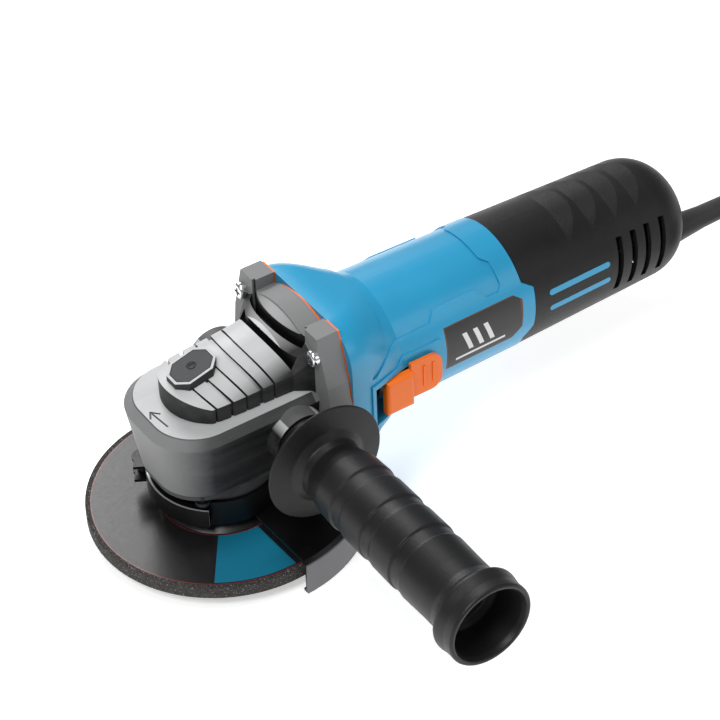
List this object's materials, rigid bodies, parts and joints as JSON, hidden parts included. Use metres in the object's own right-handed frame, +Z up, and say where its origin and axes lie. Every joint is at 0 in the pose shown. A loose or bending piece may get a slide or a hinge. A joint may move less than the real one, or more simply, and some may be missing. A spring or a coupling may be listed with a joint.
{
  "type": "angle grinder",
  "caption": "Corded hand-held angle grinder: bevel gear head, depressed-centre wheel under a half guard, screw-in side handle, slide switch and power cord.",
  "frame": {"origin": "centre of the spindle's free end face, below the wheel", "axes": "+Z up along the spindle away from the wheel, +X towards the tail and the cord, -Y towards the side handle and the switch"},
  "size_m": [0.4665, 0.2442, 0.105],
  "materials": {
    "head_metal": "light grey painted die casting, satin",
    "dark_cast": "dark die casting",
    "steel": "machined steel",
    "chrome": "bright plated",
    "dark_steel": "oxide black steel",
    "blue_plastic": "satin blue moulding",
    "black_plastic": "fine texture",
    "orange_plastic": "smooth",
    "grey_plastic": "smooth",
    "label": "gloss plate",
    "wheel": "resin-bonded abrasive",
    "guard_steel": "black painted sheet",
    "copper": "enamelled copper",
    "core_steel": "laminated steel",
    "carbon": "pressed carbon",
    "brass": "drawn brass",
    "rubber": "flexible",
    "cord": "flexible jacket"
  },
  "bodies": {
    "housing": {"gear_housing": "head_metal", "gear_housing_screws": "chrome", "bearing_bracket": "dark_cast", "front_bearing_outer": "steel", "spindle_cover": "dark_cast", "spindle_cover_screws": "dark_steel", "spindle_bearing_outer": "steel", "top_bush": "brass", "air_baffle": "orange_plastic", "motor_housing": "blue_plastic", "label_plates": "label", "stator_core": "core_steel", "stator_windings": "copper", "stator_screws": "steel", "brush_holders": "brass", "carbon_brushes": "carbon", "brush_springs": "steel", "bearing_sleeve": "rubber", "rear_bearing_outer": "steel", "rear_housing": "black_plastic", "rear_housing_screw": "dark_steel", "stripe_inserts": "blue_plastic", "switch_body": "grey_plastic", "capacitor": "orange_plastic", "lead_wires": "cord", "cord_clamp": "black_plastic", "cord_clamp_screws": "steel", "strain_relief": "rubber", "power_cord": "cord", "cord_coil": "cord", "plug_body": "rubber", "plug_blades": "brass", "side_handle": "black_plastic", "handle_stud": "steel"},
    "spindle": {"spindle": "steel", "crown_gear": "dark_steel", "spindle_bearing_inner": "steel", "spindle_bearing_balls": "chrome", "inner_flange": "steel", "wheel_bush": "steel", "grinding_wheel": "wheel", "wheel_nut": "dark_steel"},
    "armature": {"armature_shaft": "steel", "armature_core": "core_steel", "armature_windings": "copper", "commutator": "copper", "cooling_fan": "grey_plastic", "pinion": "dark_steel", "front_bearing_inner": "steel", "rear_bearing_inner": "steel"},
    "lock": {"lock_button": "grey_plastic", "lock_pin": "steel", "lock_spring": "steel"},
    "switch": {"switch_rod": "black_plastic", "switch_knob": "orange_plastic"},
    "guard": {"guard_shell": "guard_steel", "clamp_band": "guard_steel", "clamp_bolt": "steel", "clamp_bolt_nut": "steel"},
    "lever": {"clamp_lever": "chrome"}
  },
  "joints": [
    {"name": "spindle_spin", "type": "hinge", "parent": "housing", "child": "spindle", "pos_m": [0, 0, 0], "axis": [0, 0, 1], "continuous": true},
    {"name": "armature_spin", "type": "hinge", "parent": "housing", "child": "armature", "pos_m": [0, 0, 0.0625], "axis": [1, 0, 0], "continuous": true},
    {"name": "spindle_lock_press", "type": "slide", "parent": "housing", "child": "lock", "axis": [0, 0, -1], "range_m": [0, 0.004], "stiffness_N_per_m": 800, "springref_m": -0.004, "deforming": ["lock_spring"]},
    {"name": "switch_slide", "type": "slide", "parent": "housing", "child": "switch", "axis": [-1, 0, 0], "range_m": [0, 0.004]},
    {"name": "guard_swivel", "type": "hinge", "parent": "housing", "child": "guard", "pos_m": [0, 0, 0], "axis": [0, 0, 1], "range_deg": [-60, 90]},
    {"name": "guard_lever_open", "type": "hinge", "parent": "guard", "child": "lever", "pos_m": [-0.02608, 0.02438, 0.0245], "axis": [0, 0, -1], "range_deg": [0, 100]}
  ],
  "couplings": [
    {"joint": "armature_spin", "follows": "spindle_spin", "ratio": 3.3636}
  ]
}
